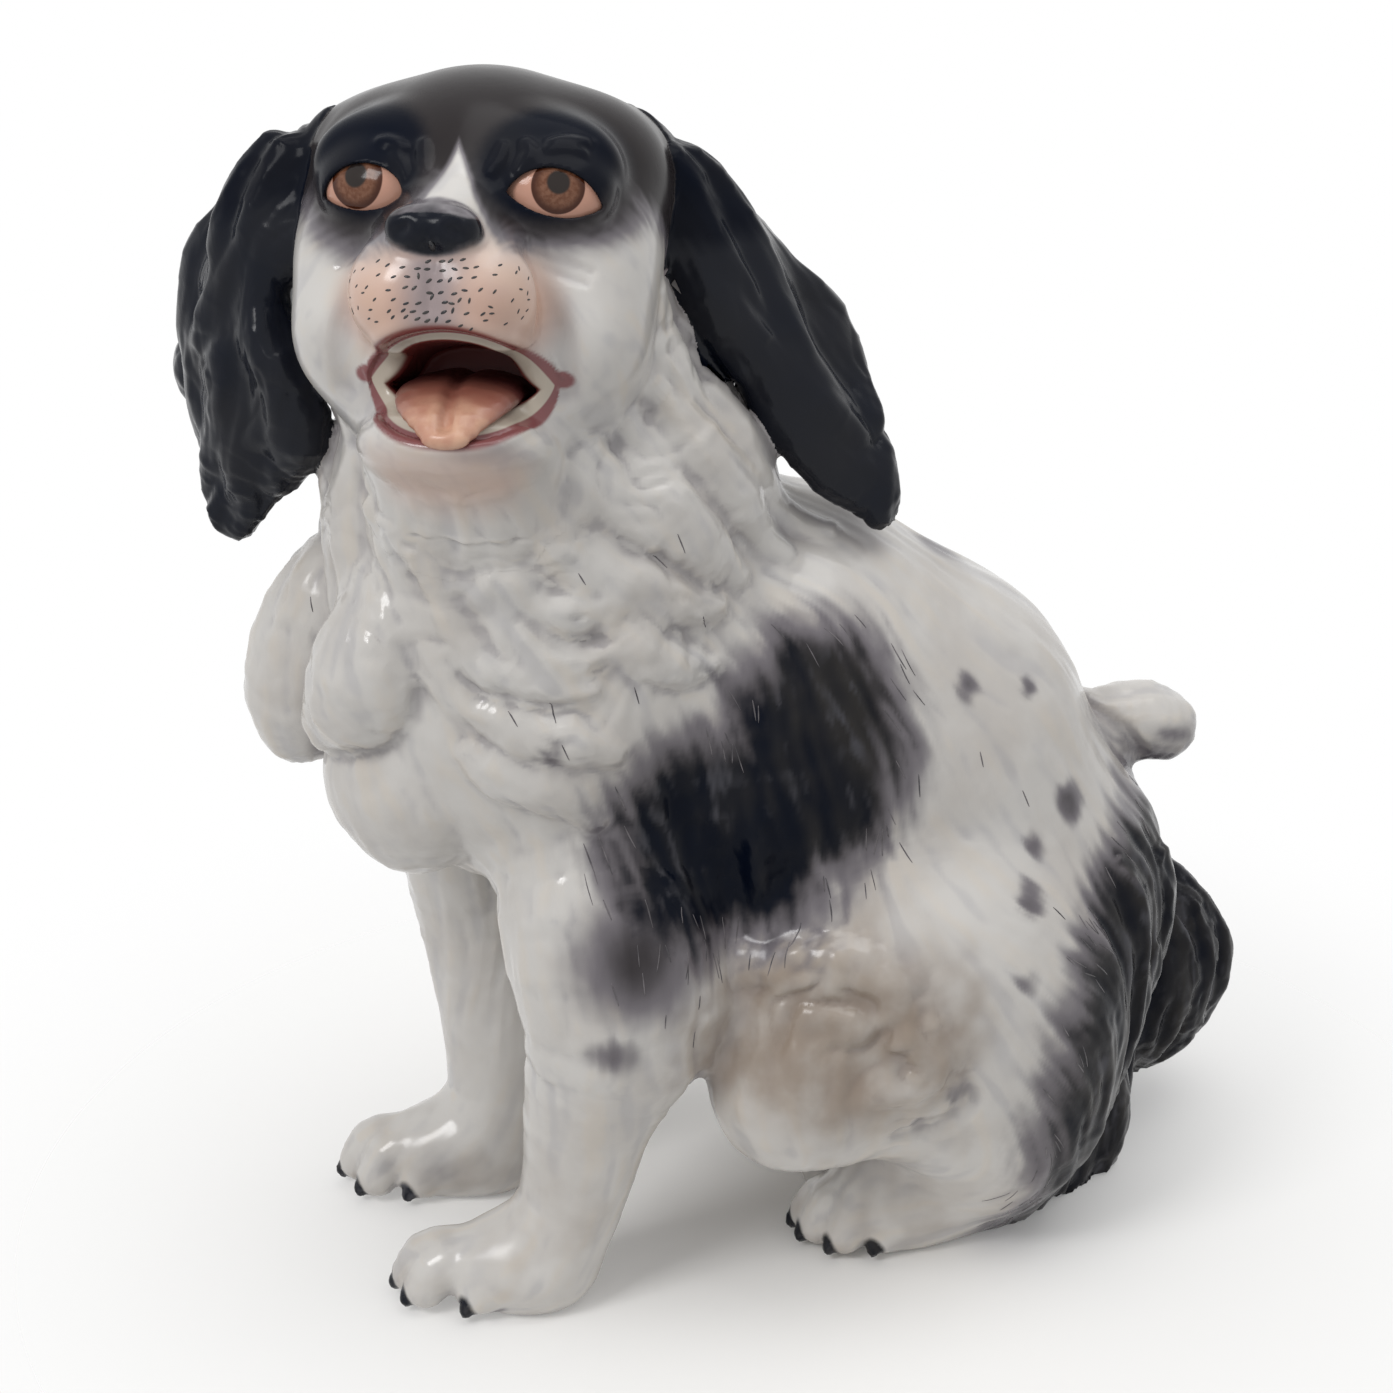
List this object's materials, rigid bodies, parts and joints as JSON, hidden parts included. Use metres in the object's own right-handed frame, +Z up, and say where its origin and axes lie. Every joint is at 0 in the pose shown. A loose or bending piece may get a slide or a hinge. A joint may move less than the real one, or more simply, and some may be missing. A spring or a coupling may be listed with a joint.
{
  "type": "porcelain dog figurine",
  "caption": "Seated spaniel ornament in glazed, hand-painted porcelain: head turned and raised, mouth open, long hanging ears, forelegs planted, stub tail.",
  "frame": {"origin": "on the surface the figure stands on, under the middle of its bounding box", "axes": "+X to the dog's left, +Y to its rear, +Z up"},
  "size_m": [0.11, 0.2216, 0.2447],
  "materials": {
    "painted_coat": "gloss",
    "painted_face": "gloss",
    "tongue_paint": "gloss",
    "black_coat": "gloss"
  },
  "bodies": {
    "root": {"torso": "painted_coat", "head": "painted_face", "tongue": "tongue_paint", "left_ear": "black_coat", "right_ear": "black_coat", "left_foreleg": "painted_coat", "right_foreleg": "painted_coat", "left_hind_paw": "painted_coat", "right_hind_paw": "painted_coat", "tail": "painted_coat", "left_chest_lock": "painted_coat", "right_chest_lock": "painted_coat", "lower_chest_lock": "painted_coat"}
  },
  "joints": []
}
